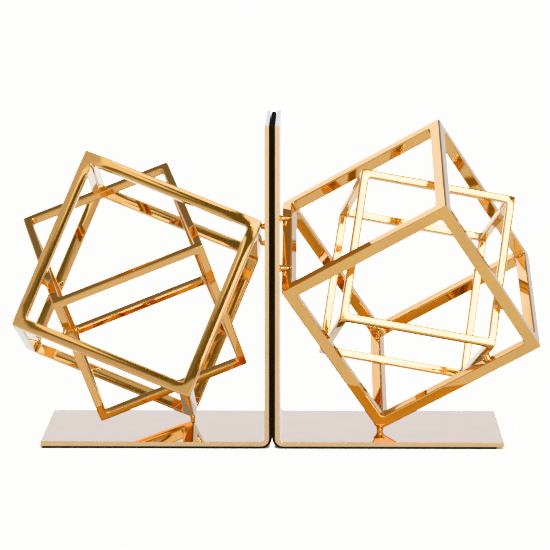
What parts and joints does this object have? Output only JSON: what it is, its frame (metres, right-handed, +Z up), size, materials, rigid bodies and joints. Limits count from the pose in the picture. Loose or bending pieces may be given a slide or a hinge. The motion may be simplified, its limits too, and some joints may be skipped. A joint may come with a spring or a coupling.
{
  "type": "bookend pair",
  "caption": "Pair of L-shaped metal bookends, each carrying a sculpture of two nested open cubes made of square bar.",
  "frame": {"origin": "on the shelf, under the middle of the pair's bounding box, with the bookends standing back to back", "axes": "+Z up, +X along the shelf from the left bookend to the right one, +Y from the viewer to the back of the shelf"},
  "size_m": [0.3162, 0.1772, 0.194],
  "materials": {
    "gold": "mirror polished gold plating",
    "pad": "matte foam rubber"
  },
  "bodies": {
    "left_bookend": {"left_base_pin": "gold", "left_inner_back_bottom_rail": "gold", "left_inner_back_left_post": "gold", "left_inner_back_right_post": "gold", "left_inner_back_top_rail": "gold", "left_inner_bottom_left_strut": "gold", "left_inner_bottom_right_strut": "gold", "left_inner_front_bottom_rail": "gold", "left_inner_front_left_post": "gold", "left_inner_front_right_post": "gold", "left_inner_front_top_rail": "gold", "left_inner_pin": "gold", "left_inner_top_left_strut": "gold", "left_inner_top_right_strut": "gold", "left_outer_back_bottom_rail": "gold", "left_outer_back_left_post": "gold", "left_outer_back_right_post": "gold", "left_outer_back_top_rail": "gold", "left_outer_bottom_left_strut": "gold", "left_outer_bottom_right_strut": "gold", "left_outer_front_bottom_rail": "gold", "left_outer_front_left_post": "gold", "left_outer_front_right_post": "gold", "left_outer_front_top_rail": "gold", "left_outer_top_left_strut": "gold", "left_outer_top_right_strut": "gold", "left_pad": "pad", "left_plate": "gold", "left_upright_pin_back": "gold", "left_upright_pin_front": "gold"},
    "right_bookend": {"right_base_pin": "gold", "right_inner_back_bottom_rail": "gold", "right_inner_back_left_post": "gold", "right_inner_back_right_post": "gold", "right_inner_back_top_rail": "gold", "right_inner_bottom_left_strut": "gold", "right_inner_bottom_right_strut": "gold", "right_inner_front_bottom_rail": "gold", "right_inner_front_left_post": "gold", "right_inner_front_right_post": "gold", "right_inner_front_top_rail": "gold", "right_inner_pin": "gold", "right_inner_top_left_strut": "gold", "right_inner_top_right_strut": "gold", "right_outer_back_bottom_rail": "gold", "right_outer_back_left_post": "gold", "right_outer_back_right_post": "gold", "right_outer_back_top_rail": "gold", "right_outer_bottom_left_strut": "gold", "right_outer_bottom_right_strut": "gold", "right_outer_front_bottom_rail": "gold", "right_outer_front_left_post": "gold", "right_outer_front_right_post": "gold", "right_outer_front_top_rail": "gold", "right_outer_top_left_strut": "gold", "right_outer_top_right_strut": "gold", "right_pad": "pad", "right_plate": "gold", "right_upright_pin_back": "gold", "right_upright_pin_front": "gold"}
  },
  "joints": [
    {"name": "slide_apart", "type": "slide", "parent": "left_bookend", "child": "right_bookend", "axis": [1, 0, 0], "range_m": [0, 0.3]}
  ]
}
